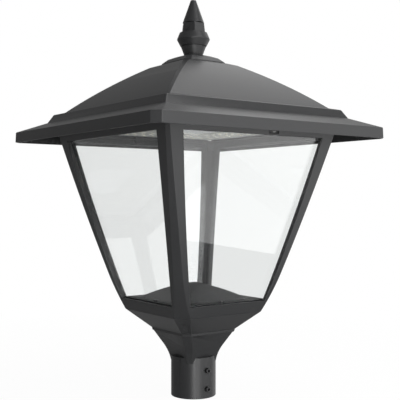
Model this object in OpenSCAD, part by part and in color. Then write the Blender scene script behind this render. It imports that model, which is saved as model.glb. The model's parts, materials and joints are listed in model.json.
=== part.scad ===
/* [Pole socket] */
// Bore of the collar that slips over the pole tenon
socket_bore_d = 78; // [70:0.5:80]
// Outside diameter of the collar
collar_d = 88; // [87:0.5:90]
// Depth of the bore up to its stop
socket_depth = 74; // [68:1:76]
// Length of plain collar below the flare
collar_len = 68; // [66:1:72]
// Hole for the supply wires above the stop
wireway_d = 40; // [30:1:50]

/* [Set screws] */
// Thread diameter of the set screws
set_screw_d = 10; // [8:0.5:12]
// Length of a set screw
set_screw_len = 11.4; // [9:0.1:14]
// Height of the lower pair above the foot of the collar
set_screw_low_z = 18.5; // [14:0.5:24]
// Spacing between the lower and the upper pair
set_screw_pitch = 35.5; // [30:0.5:38]
// Hexagon key size of the set screws
set_screw_key = 5; // [4:0.5:6]

/* [Neck and bowl] */
// Half width of the square neck where it grows out of the collar
neck_half = 35.2; // [34:0.1:36]
// Height over which the round collar still stands proud of the neck's flat sides
collar_lap = 11; // [9:0.5:14]
// Height of the concave flare
flare_h = 58; // [54:1:62]
// Height of the curved foot of the flare
flare_run = 34; // [28:1:40]
// Sideways growth of the flare for each unit of height at its very foot
foot_slope = 0.17; // [0.1:0.01:0.25]
// Sideways growth of the flare for each unit of height above its curved foot
flare_slope = 0.58; // [0.5:0.01:0.62]
// Width of the small ledge on top of the flare
bead_w = 1.8; // [1:0.1:3]
// Height of the upright bead over that ledge
bead_h = 5.5; // [4:0.5:8]
// Height of the upper tier of the bowl
bowl_h = 36.5; // [32:0.5:40]
// How far the neck's corners stand proud of the round collar at the foot of the flare
neck_proud = 0.4; // [0.3:0.1:2]
// Corner chamfer at the top of the flare
flare_corner = 12.9; // [11:0.2:14]
// Wall of the bowl casting
bowl_wall = 7; // [6:0.5:8]

/* [Lantern frame] */
// Height of the frame from the tray edge to the top ring
frame_h = 346; // [330:2:360]
// Half width of the frame at the tray edge
tray_half = 105.7; // [102:0.1:108]
// Half width of the frame at its top ring
ring_half = 197.7; // [195:0.3:200]
// How far the middle of a post bows out from a straight line
post_bow = 2.5; // [1:0.1:4]
// How far the foot of each post is tucked in
foot_tuck = 1.6; // [1:0.1:4]
// Height over which the foot is tucked in
foot_tuck_h = 72; // [60:2:80]
// Corner chamfer at the top ring
ring_corner = 6; // [4:0.5:8]
// Corner chamfer of a post just above its foot
post_corner = 14.8; // [12:0.2:16]
// Extra corner chamfer at the very foot
foot_corner = 7; // [4:0.5:8]
// Width of a post's face at its foot
post_face_foot = 24.7; // [23:0.1:27]
// Extra width of a post's face at the top ring
post_face_gain = 9.1; // [7:0.1:11]
// Wall left between the outer face and the glazing
frame_wall = 7; // [6:0.2:7.4]
// Floor plate of the tray
tray_floor_t = 6; // [5:0.5:7]
// Height of the window sill above the tray edge
sill_h = 21; // [19:0.5:23]
// Height of the top bar over the windows
top_bar_h = 14; // [12:0.5:15]
// Height of the ledge that the panes stand on, above the tray edge
pane_ledge_h = 17; // [16:0.5:17.5]
// Width of the clear space inside that ledge, as a half width
ledge_half = 94; // [90:0.5:94.5]

/* [Glazing] */
// Thickness of a pane
pane_t = 4; // [3:0.5:5]
// Overlap of a pane behind the window edge
pane_lap = 6.5; // [5.5:0.1:6.8]
// Thickness of the gasket behind the window edge
gasket_t = 1.5; // [1:0.1:2]
// Width of the gasket strip
gasket_w = 5; // [4:0.5:5]
// Side of the corner clips that hold the heads of the panes
clamp_side = 12; // [10:0.5:13]
// Height of those clips
clamp_h = 17; // [15:0.5:18]

/* [Floor cover] */
// Half width of the floor cover
cover_half = 97.75; // [96:0.25:98.25]
// Half width of the raised middle of the floor cover
hip_half = 80; // [72:1:81]
// Height of the raised middle
hip_h = 30; // [24:1:36]
// Height of the cover's flat shelf above the tray edge
shelf_h = 23; // [22:0.5:25]
// Sheet thickness of the floor cover
cover_t = 2; // [1.5:0.1:2.4]

/* [Roof] */
// How far the fascia reaches out beyond the frame's top ring
eaves_reach = 67.3; // [55:0.1:80]
// How far the fascia hangs below the frame's top ring
eaves_drop = 14; // [12:0.5:16]
// Height of the fascia
fascia_h = 20; // [16:0.5:24]
// Corner chamfer of the fascia
fascia_corner = 13.4; // [10:0.2:16]
// Height of the sloping skirt over the fascia
skirt_h = 19; // [16:0.5:22]
// How far the foot of the steep band stands outside the frame's top ring
band_reach = 15.8; // [14:0.1:20]
// Height of the steep band
band_h = 16.3; // [14:0.1:18]
// How far the top of the steep band stands outside the frame's top ring
band_top_reach = 6.3; // [4:0.1:8]
// Height of the shallow shoulder between band and dome
shoulder_h = 3.7; // [3:0.1:5]
// How far the foot of the dome is set in from the frame's top ring
dome_inset = 10.2; // [8:0.1:14]
// Height of the dome up to the rim round its crown
dome_h = 86.2; // [80:0.2:92]
// How far the dome bulges out from a straight slope
dome_bow = 4.2; // [2:0.1:7]
// Width of the nearly flat rim that the crown shows round the cap
crown_rim_w = 15; // [10:0.5:20]
// Rise of that rim
crown_rim_h = 4.8; // [3:0.2:7]
// Corner chamfer along the band
band_corner = 3; // [2:0.2:5]
// Corner chamfer at the top of the dome
crown_corner = 7; // [5:0.5:9]
// Wall of the roof casting
roof_wall = 4; // [3.5:0.1:4.5]
// Thickness of the sealing rib under the roof
rib_t = 6; // [5:0.5:7]

/* [Roof cap and finial] */
// Width of the cap that seats on the dome
cap_w = 98; // [94:1:102]
// Height of the cap
cap_h = 17.4; // [15:0.2:19]
// Corner chamfer at the foot of the cap
cap_corner = 9; // [7:0.5:12]
// Diameter of the finial's foot
stem_d = 36; // [32:1:38]
// Height of the finial's tapered stem
stem_h = 17.2; // [15:0.2:20]
// Diameter of the round knob at its sharp girth
knob_d = 64.4; // [58:0.2:68]
// Height of the round knob
knob_h = 25.8; // [22:0.2:28]
// Diameter of the groove under the knob
groove_d = 45; // [40:1:48]
// Height of the hexagon block
hex_h = 20.5; // [18:0.5:24]
// Width of the hexagon block over its corners at its foot
hex_w = 50.6; // [46:0.4:54]
// Width of the hexagon block over its corners at its top
hex_top_w = 45.8; // [43:0.2:50]
// Diameter of the spire's foot
spire_d = 42.4; // [36:0.4:43]
// Height of the spire
spire_h = 44.5; // [38:0.5:50]
// Diameter of the spire's tip
spire_tip_d = 10.6; // [8:0.2:12]
// Diameter of the stud that holds cap and finial
stud_d = 10; // [8:0.5:12]

/* [Light engine] */
// Gap between the gear plate's edge and the sealing rib
plate_gap = 14.5; // [13:0.5:18]
// Thickness of the gear plate
plate_t = 3; // [2:0.5:4]
// Distance of the gear plate's screws from its edges
plate_screw_inset = 12; // [11:0.5:14]
// Margin of the gear plate that shows round the circuit board
board_margin = 26; // [22:1:30]
// Thickness of the circuit board
board_t = 1.6; // [1:0.2:2]
// Distance of the outermost row of light sources from the board's edge
row_edge = 20; // [12:1:24]
// Distance between the rows
row_pitch = 25; // [22:1:28]
// Spacing of the light sources along a row
chip_pitch = 20; // [18:1:24]
// Side of a light source
chip_side = 5; // [4:0.5:7]
// Length of the driver
driver_len = 190; // [160:5:200]
// Width of the driver
driver_w = 62; // [50:2:66]
// Height of the driver
driver_h = 38; // [30:1:42]

/* [Hinge and latch] */
// Distance of each hinge from the middle of the back
hinge_x = 110; // [90:5:120]
// Diameter of the hinge pin
hinge_pin_d = 6; // [5:0.5:7]
// Distance of the hinge axis behind the ring's outer edge
hinge_back = 8.3; // [8.2:0.1:9]
// Sideways place of the latch on the front bar
latch_x = 37.5; // [30:0.5:45]
// Diameter of the latch spindle
latch_d = 6; // [5:0.5:7]
// Width of the latch notch
notch_w = 24; // [20:1:28]
// Depth of the latch notch
notch_depth = 3.4; // [3:0.1:4]
// Reach of the latch hook from its spindle
hook_reach = 16.5; // [15:0.5:18]

/* [Hidden] */
$fn = 64;
run_gap = 0.05;
free_gap = 0.3;
over = 5;
strips = 12;

z_flare = collar_len;
z_bead = z_flare + flare_h;
z_bowl = z_bead + bead_h;
z_tray = z_bowl + bowl_h;
z_ring = z_tray + frame_h;
z_sill = z_tray + sill_h;
z_head = z_ring - top_bar_h;
z_ledge = z_tray + pane_ledge_h;
z_floor = z_tray + tray_floor_t;
z_shelf = z_tray + shelf_h;
z_eaves = z_ring - eaves_drop;
z_brow = z_eaves + fascia_h;
z_band = z_brow + skirt_h;
z_shoulder = z_band + band_h;
z_dome = z_shoulder + shoulder_h;
z_rim = z_dome + dome_h;
z_crown = z_rim + crown_rim_h;
z_cap = z_crown + cap_h;

// A stretch from a to b in n steps that bows sideways by bow at its middle
function bowed(a, b, bow, n) = let(d = b - a, side = [-d[1], d[0]] / norm(d))
    [for (i = [0 : n]) let(t = i / n) a + d * t + side * 4 * bow * t * (1 - t)];
function between(a, b, t) = a + (b - a) * t;

// The corners of the neck grow out of the collar, whose roundness sets their chamfer
neck_corner = 2 * neck_half - sqrt(2) * (collar_d / 2 + neck_proud);
// Half width of the flare at height z
function flare_half(z) = let(h = z - z_flare, gain = (flare_slope - foot_slope) / 2)
    neck_half + (h < flare_run ? foot_slope * h + gain * h * h / flare_run
        : flare_slope * h - gain * flare_run);
function flare_rows() = concat(
    [for (i = [0 : strips - 2]) let(z = z_flare + flare_run * i / (strips - 2))
        [flare_half(z), z, between(neck_corner, flare_corner, (z - z_flare) / flare_h)]],
    [[flare_half(z_bead), z_bead, flare_corner]]);
bead_half = flare_half(z_bead) + bead_w;

// Half width of the lantern frame at height z: leaning, bowed out and tucked in at its foot
function frame_half(z) = let(t = (z_ring - z) / frame_h, u = max(0, z_tray + foot_tuck_h - z) / foot_tuck_h)
    ring_half - (ring_half - tray_half - foot_tuck) * t + 4 * post_bow * t * (1 - t) - foot_tuck * u * u;
function frame_corner(z) = let(t = (z_ring - z) / frame_h, u = max(0, z_tray + foot_tuck_h - z) / foot_tuck_h)
    between(ring_corner, post_corner, t) + foot_corner * u * u;
z_bar = z_ring - 3 * top_bar_h;
frame_steps = concat([for (i = [0 : 6]) z_tray + foot_tuck_h * i / 6],
    [for (i = [1 : 7]) z_tray + foot_tuck_h + (z_bar - z_tray - foot_tuck_h) * i / 7], [z_ring]);
frame_rows = [for (z = frame_steps) [frame_half(z), z, frame_corner(z)]];
// Outer face of the top bar, which is flat above z_bar
function bar_face(z) = between(frame_half(z_bar), frame_half(z_ring), (z - z_bar) / (z_ring - z_bar));
bar_lean = atan((frame_half(z_ring) - frame_half(z_bar)) / (z_ring - z_bar));

// Half width of a window at height z
function window_half(z) = let(t = (z - z_tray) / frame_h)
    frame_half(z) - post_face_foot - post_face_gain * t * t;

// The inner face of the frame is flat, and the glazing leans with it
glaze_foot = frame_half(z_sill) - frame_wall;
glaze_head = frame_half(z_head) - frame_wall;
glaze_slope = (glaze_head - glaze_foot) / (z_head - z_sill);
glaze_lean = atan(glaze_slope);
function inner_half(z) = glaze_foot + (z - z_sill) * glaze_slope;
z_pane_foot = z_ledge + free_gap;
z_pane_head = z_head + 1.8;
function frame_diagonal(z) = (2 * frame_half(z) - frame_corner(z)) / sqrt(2);
function inner_diagonal(z) = min(sqrt(2) * inner_half(z) - 2, frame_diagonal(z) - 6);
pane_back = gasket_t + pane_t;
pane_seat = pane_back / cos(glaze_lean) + 0.1;

// Roof outline from the fascia up to the crown
roof_half = ring_half + eaves_reach;
band_half = ring_half + band_reach;
band_top_half = ring_half + band_top_reach;
dome_half = ring_half - dome_inset;
fascia_draft = 0.7;
crown_half = cap_w / 2 + 1;
rim_half = crown_half + crown_rim_w;
function roof_rows() = concat(
    [[roof_half, z_eaves, fascia_corner], [roof_half - fascia_draft, z_brow, fascia_corner],
        [band_half, z_band, band_corner], [band_top_half, z_shoulder, band_corner]],
    [for (i = [0 : strips]) let(p = bowed([dome_half, z_dome], [rim_half, z_rim], -dome_bow, strips)[i])
        [p[0], p[1], between(band_corner, crown_corner, i / strips)]],
    [[crown_half, z_crown, crown_corner]]);
wall_step = roof_wall / sqrt(2);
roof_inner_rows = [for (r = roof_rows()) [r[0] - wall_step, r[1] - wall_step, r[2]]];

// Light engine heights
z_gasket = z_ring + 3;
z_rib = z_gasket + free_gap;
z_plate = z_rib + 2.7;
z_gear = z_plate + plate_t;
rib_half = ring_half - 1.2;
gasket_half = rib_half + 0.3;
plate_half = rib_half - rib_t - plate_gap;
plate_screw_at = plate_half - plate_screw_inset;
board_half = plate_half - board_margin;
row_count = 3;
row_first = board_half - row_edge - (row_count - 1) * row_pitch;
boss_d = 14;
m5 = 5;
m4 = 4;
m3 = 3;
m6 = 6;

// Hinge
hinge_y = ring_half + hinge_back;
hinge_z = z_ring + 2;
knuckle_d = 13;
knuckle_w = 12;
ear_w = 8;
leaf_t = 3;
leaf_half_w = knuckle_w / 2 + free_gap + ear_w;
leaf_flank = 11.5;
arm_plate_h = 16;
arm_screw_up = 13;
arm_screw_x = 10;

// Latch
latch_z = z_ring - 5.5;
hook_t = 3;
hook_y = -(inner_half(latch_z) - pane_seat - 2);
hook_inner = 12.4;
peg_d = 4;
peg_at = 10;
peg_angle = 60;
bush_d = 10;
notch_y = -bar_face(latch_z) + notch_depth;
bush_back = hook_y - hook_t / 2 - free_gap - 0.1;
strike_x = latch_x + 14;
strike_t = 2;
strike_screw_z = z_rib + 9;

// Floor and bolts
bolt_at = 78;
frame_bolt_len = 20;
cover_screw_at = hip_half + 2 * m4;
hip_groove_near = 1;
hip_groove_far = 2.5;
hip_groove_corner = 14;
gland_d = 25;
lanyard_x = -8;

// Outline drawn from half widths and heights, on both sides of the axis
module half_outline(points) {
    n = len(points);
    polygon(concat(points, [for (i = [n - 1 : -1 : 0]) [-points[i][0], points[i][1]]]));
}
function stretched(points, by) = let(n = len(points)) by == 0 ? points : concat(
    [[points[0][0], points[0][1] - by]], points, [[points[n - 1][0], points[n - 1][1] + by]]);
module upright_prism(points, length, by, turn) {
    rotate([0, 0, turn])
        rotate([90, 0, 0])
            linear_extrude(length, center = true)
                half_outline(stretched(points, by));
}
// Square body with chamfered corners, from rows of half width, height and chamfer
module square_loft(rows) {
    square_body([for (r = rows) [r[0], r[1]]], [for (r = rows) [(2 * r[0] - r[2]) / sqrt(2), r[1]]]);
}
module square_body(faces, corners) {
    length = 2 * sqrt(2) * max([for (f = faces) f[0]]);
    intersection() {
        upright_prism(faces, length, 0, 0);
        upright_prism(faces, length, over, 90);
        upright_prism(corners, length, over, 45);
        upright_prism(corners, length, over, -45);
    }
}
module square_block(half, z0, z1, corner) {
    square_loft([[half, z0, corner], [half, z1, corner]]);
}
module rounded_square(half, r) {
    square([2 * half, 2 * (half - r)], center = true);
    square([2 * (half - r), 2 * half], center = true);
    for (x = [-1, 1], y = [-1, 1])
        translate([x * (half - r), y * (half - r)])
            circle(r);
}
module four_corners(at) {
    for (x = [-1, 1], y = [-1, 1])
        translate([x * at, y * at, 0])
            children();
}
module four_sides(at) {
    for (turn = [0 : 90 : 270])
        rotate([0, 0, turn])
            translate([0, -at, 0])
                children();
}
// Places children on the inner face of the front wall, x across, y up the slope, z outwards
module on_glazing(turn) {
    rotate([0, 0, turn])
        translate([0, -inner_half(z_pane_foot), z_pane_foot])
            rotate([90 + glaze_lean, 0, 0])
                children();
}
// Outline on the glazing plane that runs lap mm outside the window's edge from height z0 to z1
module pane_outline(lap, z0, z1) {
    heights = concat([z0], [for (z = frame_steps) if (z > z0 + 2 && z < z1 - 2) z], [z1]);
    half_outline([for (z = heights) [window_half(z) + lap, (z - z_pane_foot) / cos(glaze_lean)]]);
}

// Pan head screw pointing up, its head below z = 0
module pan_screw_up(d, length) {
    cylinder(d = d, h = length);
    translate([0, 0, -0.6 * d])
        difference() {
            cylinder(d = 1.9 * d, h = 0.6 * d);
            translate([0, 0, -1])
                cylinder(d = 0.9 * d, h = 0.3 * d + 1, $fn = 6);
        }
}
// Pan head screw pointing down, its head above z = 0
module pan_screw_down(d, length) {
    rotate([180, 0, 0])
        pan_screw_up(d, length);
}

module bowl_cavity() {
    difference() {
        square_loft([
            [bead_half - 24, z_flare + 34, 6],
            [bead_half - bowl_wall, z_bowl - 4, 10],
            [tray_half - bowl_wall - 1, z_tray + 1, 18]]);
        four_corners(bolt_at)
            translate([0, 0, z_bowl])
                cylinder(d = 20, h = bowl_h + over);
    }
}
module pole_fitter() {
    color("#3a3b3d")
        difference() {
            union() {
                cylinder(d = collar_d, h = collar_len + collar_lap, $fn = 96);
                square_loft(concat(flare_rows(), [[bead_half, z_bead + 0.8, flare_corner],
                    [bead_half + 0.6, z_bowl, flare_corner], [tray_half, z_tray, frame_corner(z_tray)]]));
            }
            translate([0, 0, -1])
                cylinder(d = socket_bore_d, h = socket_depth + 1, $fn = 96);
            cylinder(d = wireway_d, h = z_bowl);
            bowl_cavity();
            for (z = [set_screw_low_z, set_screw_low_z + set_screw_pitch])
                translate([0, 0, z])
                    rotate([90, 0, 0])
                        cylinder(d = set_screw_d + 2 * run_gap, h = 2 * collar_d, center = true);
            four_corners(bolt_at)
                translate([0, 0, z_tray - 16])
                    cylinder(d = m6 + 2 * run_gap, h = 17);
        }
}

// Socket set screw on the front of the collar, its tip level with the bore
module set_screw(side, z) {
    color("#1d1d1f")
        rotate([0, 0, side])
            translate([0, -socket_bore_d / 2 - free_gap, z])
                rotate([90, 0, 0])
                    difference() {
                        union() {
                            cylinder(d1 = set_screw_d - 3, d2 = set_screw_d, h = 1.5);
                            translate([0, 0, 1.5])
                                cylinder(d = set_screw_d, h = set_screw_len - 2.1);
                            translate([0, 0, set_screw_len - 0.6])
                                cylinder(d1 = set_screw_d, d2 = set_screw_d - 1.2, h = 0.6);
                        }
                        translate([0, 0, set_screw_len - 5])
                            cylinder(d = set_screw_key / cos(30), h = 6, $fn = 6);
                    }
}
module set_screw_front_low() { set_screw(0, set_screw_low_z); }
module set_screw_front_high() { set_screw(0, set_screw_low_z + set_screw_pitch); }
module set_screw_back_low() { set_screw(180, set_screw_low_z); }
module set_screw_back_high() { set_screw(180, set_screw_low_z + set_screw_pitch); }

window_steps = concat([z_sill], [for (z = frame_steps) if (z > z_sill + 2 && z < z_head - 2) z], [z_head]);
module window_pair(turn) {
    upright_prism([for (z = window_steps) [window_half(z), z]], 3 * ring_half, 0, turn);
}
module latch_notch() {
    translate([latch_x - notch_w / 2, -2 * ring_half, z_ring - 11.4])
        cube([notch_w, 2 * ring_half - bar_face(latch_z) + notch_depth, 2 * top_bar_h]);
}
// Screw holes for the hinge brackets, square to the top bar's outer face
bracket_screw_x = 20;
bracket_z = z_ring - 7;
module on_back_bar() {
    for (side = [-1, 1], x = [-1, 1])
        translate([side * hinge_x + x * bracket_screw_x, bar_face(bracket_z), bracket_z])
            rotate([-90 - bar_lean, 0, 0])
                children();
}
clamp_screw_z = z_head + 6.5;
clamp_lean = atan(sqrt(2) * glaze_slope);
clamp_screw_len = 22;
module on_clamps() {
    at = -inner_half(clamp_screw_z) + pane_seat + 0.7 * clamp_side;
    four_turns()
        translate([at, at, clamp_screw_z])
            rotate([0, -90 - clamp_lean, 45])
                children();
}
module four_turns() {
    for (turn = [0 : 90 : 270])
        rotate([0, 0, turn])
            children();
}
module lantern_frame() {
    color("#3a3b3d")
        difference() {
            union() {
                frame_casting();
                four_sides(cover_screw_at)
                    translate([0, 0, z_floor - 1])
                        cylinder(d = 10, h = z_shelf - cover_t - z_floor + 1);
            }
            four_sides(cover_screw_at)
                translate([0, 0, z_floor + 2])
                    cylinder(d = m4 + 2 * run_gap, h = shelf_h);
        }
}
module frame_cavity() {
    z_top = z_ring + over;
    heights = concat([z_ledge], [for (z = frame_steps) if (z > z_ledge + 2) z], [z_top]);
    square_body([for (z = [z_ledge, z_top]) [inner_half(z), z]], [for (z = heights) [inner_diagonal(z), z]]);
}
module frame_casting() {
    difference() {
        square_loft(frame_rows);
        square_block(ledge_half, z_floor, z_ledge + 1, 6);
        frame_cavity();
        window_pair(0);
        window_pair(90);
        latch_notch();
        translate([latch_x, -ring_half, latch_z])
            rotate([90, 0, 0])
                cylinder(d = bush_d + 2 * run_gap, h = 6 * frame_wall, center = true);
        translate([0, 0, z_tray - 1])
            cylinder(d = gland_d + 2 * run_gap, h = tray_floor_t + 2);
        four_corners(bolt_at)
            translate([0, 0, z_tray - 1])
                cylinder(d = m6 + 2 * free_gap, h = tray_floor_t + 2);
        on_back_bar()
            cylinder(d = m4 + 2 * run_gap, h = 12, center = true);
        on_clamps()
            cylinder(d = m4 + 2 * run_gap, h = clamp_screw_len + 0.5);
        translate([lanyard_x, 0, anchor_screw_z])
            rotate([-90, 0, 0])
                cylinder(d = m3 + 2 * run_gap, h = ring_half - frame_wall / 2);
    }
}
module frame_bolts() {
    color("#9a9c9f")
        four_corners(bolt_at)
            translate([0, 0, z_floor]) {
                cylinder(d = 1.8 * m6, h = 0.65 * m6, $fn = 6);
                translate([0, 0, -frame_bolt_len])
                    cylinder(d = m6, h = frame_bolt_len);
            }
}

module pane(turn) {
    color("#dfe6e8", 0.35)
        on_glazing(turn)
            translate([0, 0, -pane_back])
                linear_extrude(pane_t)
                    pane_outline(pane_lap, z_pane_foot, z_pane_head);
}
module pane_front() { pane(0); }
module pane_right() { pane(90); }
module pane_back() { pane(180); }
module pane_left() { pane(270); }
module pane_gaskets() {
    color("#161617")
        for (turn = [0 : 90 : 270])
            on_glazing(turn)
                translate([0, 0, -gasket_t])
                    linear_extrude(gasket_t - run_gap)
                        difference() {
                            pane_outline(pane_lap - 0.5, z_pane_foot + 0.5, z_pane_head);
                            pane_outline(pane_lap - 0.5 - gasket_w, z_sill - 0.8, z_head + 0.3);
                        }
}
// Four leaning corner clips, what is left of a tapered block between two crossing prisms
z_clamp_head = z_ring - 1;
z_clamp_foot = z_clamp_head - clamp_h;
module pane_clamps() {
    ends = [z_clamp_foot, z_clamp_head];
    outer = [for (z = ends) [inner_half(z) - pane_seat, z, 1.5]];
    inner = [for (z = ends) [inner_half(z) - pane_seat - clamp_side, z]];
    diagonal = [for (z = ends) [sqrt(2) * (inner_half(z) - pane_seat - 0.7 * clamp_side), z]];
    color("#3a3b3d")
        difference() {
            square_loft(outer);
            upright_prism(inner, 3 * ring_half, over, 0);
            upright_prism(inner, 3 * ring_half, over, 90);
            intersection() {
                upright_prism(diagonal, 3 * ring_half, over, 45);
                upright_prism(diagonal, 3 * ring_half, over, -45);
            }
            on_clamps()
                translate([0, 0, -clamp_screw_len / 2])
                    cylinder(d = m4 + 2 * run_gap, h = 2 * clamp_screw_len);
        }
}
module clamp_screws() {
    color("#1d1d1f")
        on_clamps()
            pan_screw_up(m4, clamp_screw_len);
}

module floor_cover() {
    hip = [for (p = bowed([hip_half, 0], [8, hip_h], -2.5, 6)) p];
    function hip_rows(drop, inset) = [for (p = hip)
        [p[0] - inset, z_shelf + p[1] - drop, 12 * p[0] / hip_half]];
    color("#343537")
        difference() {
            union() {
                square_block(cover_half, z_ledge + free_gap, z_shelf, 6);
                square_loft(concat([[hip_half, z_shelf - 1, 12]], hip_rows(0, 0)));
            }
            square_block(cover_half - cover_t, z_ledge - 1, z_shelf - cover_t, 6);
            square_loft(concat([[hip_half - 3, z_shelf - cover_t - 1, 12]],
                [for (r = hip_rows(cover_t, 3)) if (r[0] > 2) r]));
            four_sides(cover_screw_at)
                translate([0, 0, z_shelf - over])
                    cylinder(d = m4 + 2 * free_gap, h = 2 * over);
            translate([0, 0, z_shelf - cover_t / 2])
                linear_extrude(cover_t)
                    difference() {
                        rounded_square(hip_half + hip_groove_far, hip_groove_corner);
                        rounded_square(hip_half + hip_groove_near, hip_groove_corner - 2);
                    }
        }
}
module floor_cover_screws() {
    color("#1d1d1f")
        four_sides(cover_screw_at)
            translate([0, 0, z_shelf])
                pan_screw_down(m4, 10);
}
module cable_gland() {
    color("#1d1d1f")
        difference() {
            union() {
                translate([0, 0, z_tray - 12])
                    cylinder(d = gland_d, h = tray_floor_t + 12);
                translate([0, 0, z_floor])
                    cylinder(d = 1.4 * gland_d, h = 6, $fn = 6);
                translate([0, 0, z_floor + 6])
                    cylinder(d = 1.15 * gland_d, h = 8);
                translate([0, 0, z_floor + 14])
                    cylinder(d1 = 1.15 * gland_d, d2 = 0.8 * gland_d, h = 6);
            }
            translate([0, 0, z_tray - 13])
                cylinder(d = 0.5 * gland_d, h = 60);
        }
}
module gland_nut() {
    color("#1d1d1f")
        translate([0, 0, z_tray - 6])
            difference() {
                cylinder(d = 1.4 * gland_d, h = 6, $fn = 6);
                translate([0, 0, -1])
                    cylinder(d = gland_d + 2 * run_gap, h = 8);
            }
}

module roof_gasket() {
    color("#161617")
        difference() {
            square_block(gasket_half, z_ring, z_gasket, 4);
            square_block(gasket_half - 5.3, z_ring - 1, z_gasket + 1, 3);
        }
}
anchor_w = 20;
anchor_t = 7;
anchor_back = rib_half - rib_t - 1;
anchor_screw_z = z_ring - 5;
module lanyard_anchor() {
    z_foot = z_ring - 8;
    z_top = z_ring + 5;
    color("#2c2d2f")
        difference() {
            translate([lanyard_x, 0, 0])
                rotate([90, 0, 90])
                    linear_extrude(anchor_w, center = true)
                        polygon([[inner_half(z_foot) - run_gap, z_foot],
                            [inner_half(z_ring - 2) - run_gap, z_ring - 2],
                            [anchor_back, z_ring], [anchor_back, z_top],
                            [anchor_back - anchor_t, z_top], [anchor_back - anchor_t, z_foot]]);
            translate([lanyard_x, anchor_back - anchor_t / 2, z_ring + 1])
                rotate([0, 90, 0])
                    cylinder(d = m4, h = 2 * anchor_w, center = true);
            translate([lanyard_x, anchor_back, anchor_screw_z])
                rotate([90, 0, 0])
                    cylinder(d = m3 + 2 * run_gap, h = 4 * anchor_t, center = true);
        }
}
module lanyard_screw() {
    color("#9a9c9f")
        translate([lanyard_x, anchor_back - anchor_t, anchor_screw_z])
            rotate([-90, 0, 0])
                pan_screw_up(m3, anchor_t + 4);
}

// Hinge bracket profile on the back bar, seen along the hinge axis
function bar_point(up, out) = [bar_face(bracket_z) + up * sin(bar_lean) + out * cos(bar_lean),
    bracket_z + up * cos(bar_lean) - out * sin(bar_lean)];
module hinge_hole(length, d) {
    translate([0, hinge_y, hinge_z])
        rotate([0, 90, 0])
            cylinder(d = d, h = length, center = true);
}
module along_x(width) {
    rotate([90, 0, 90])
        linear_extrude(width, center = true)
            children();
}
module hinge_brackets() {
    color("#3a3b3d")
        for (side = [-1, 1])
            translate([side * hinge_x, 0, 0])
                difference() {
                    union() {
                        along_x(2 * (leaf_half_w + leaf_flank))
                            polygon([bar_point(-6, run_gap), bar_point(5.5, run_gap), bar_point(5.5, leaf_t),
                                bar_point(-6, leaf_t)]);
                        for (ear = [-1, 1])
                            translate([ear * (leaf_half_w - ear_w / 2), 0, 0]) {
                                along_x(ear_w)
                                    polygon([bar_point(-6, 1), bar_point(5, 1), [hinge_y, hinge_z],
                                        [hinge_y, hinge_z - knuckle_d / 2]]);
                                hinge_hole(ear_w, knuckle_d);
                            }
                    }
                    hinge_hole(4 * leaf_half_w, hinge_pin_d + 2 * run_gap);
                    for (x = [-1, 1])
                        translate([x * bracket_screw_x, bar_face(bracket_z), bracket_z])
                            rotate([-90 - bar_lean, 0, 0])
                                cylinder(d = m4 + 2 * run_gap, h = 3 * leaf_t, center = true);
                }
}
module hinge_bracket_screws() {
    color("#9a9c9f")
        on_back_bar()
            translate([0, 0, leaf_t])
                rotate([180, 0, 0])
                    pan_screw_up(m4, leaf_t + 6);
}
module hinge_pins() {
    color("#b9bbbe")
        for (side = [-1, 1])
            translate([side * hinge_x, 0, 0]) {
                hinge_hole(2 * leaf_half_w + 4, hinge_pin_d);
                for (end = [-1, 1])
                    translate([end * (leaf_half_w + free_gap + 1), 0, 0])
                        hinge_hole(2, hinge_pin_d + 3);
            }
}
module hinge_arm_plate(x0, x1) {
    translate([x0, rib_half, z_rib + 2])
        cube([x1 - x0, leaf_t, arm_plate_h]);
}
arm_screw_z = z_rib + arm_screw_up;
module roof_hinge_arms() {
    color("#3a3b3d")
        for (side = [-1, 1])
            translate([side * hinge_x, 0, 0])
                difference() {
                    union() {
                        hinge_arm_plate(-14, 14);
                        along_x(knuckle_w)
                            polygon([[rib_half + 1, z_rib + 2], [rib_half + 1, z_rib + 12],
                                [hinge_y, hinge_z + knuckle_d / 2], [hinge_y, hinge_z]]);
                        hinge_hole(knuckle_w, knuckle_d);
                    }
                    hinge_hole(4 * leaf_half_w, hinge_pin_d + 2 * run_gap);
                    for (x = [-1, 1])
                        translate([x * arm_screw_x, rib_half, arm_screw_z])
                            rotate([90, 0, 0])
                                cylinder(d = m4 + 2 * run_gap, h = 30, center = true);
                }
}
module hinge_arm_screws() {
    color("#9a9c9f")
        for (side = [-1, 1], x = [-1, 1])
            translate([side * hinge_x + x * arm_screw_x, rib_half + leaf_t, arm_screw_z])
                rotate([90, 0, 0])
                    pan_screw_up(m4, leaf_t + rib_t - 1);
}

module latch_axis(y) {
    translate([latch_x, y, latch_z])
        rotate([90, 0, 0])
            children();
}
module latch_bush() {
    color("#1d1d1f")
        latch_axis(bush_back)
            difference() {
                cylinder(d = bush_d, h = bush_back - notch_y - 0.1);
                translate([0, 0, -1])
                    cylinder(d = latch_d + 2 * run_gap, h = 30);
            }
}
module latch_spindle() {
    color("#b9bbbe")
        difference() {
            union() {
                latch_axis(hook_y + hook_t / 2 + 4.5)
                    cylinder(d = latch_d, h = hook_y + hook_t / 2 + 4.5 - notch_y + 1);
                latch_axis(notch_y - free_gap)
                    cylinder(d = 8, h = 3);
            }
            latch_axis(notch_y - free_gap - 1)
                cylinder(d = 4.6, h = 5, $fn = 6);
        }
}
function ring_points(r, a0, a1, n) = [for (i = [0 : n]) let(a = a0 + (a1 - a0) * i / n)
    [r * cos(a), r * sin(a)]];
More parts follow.
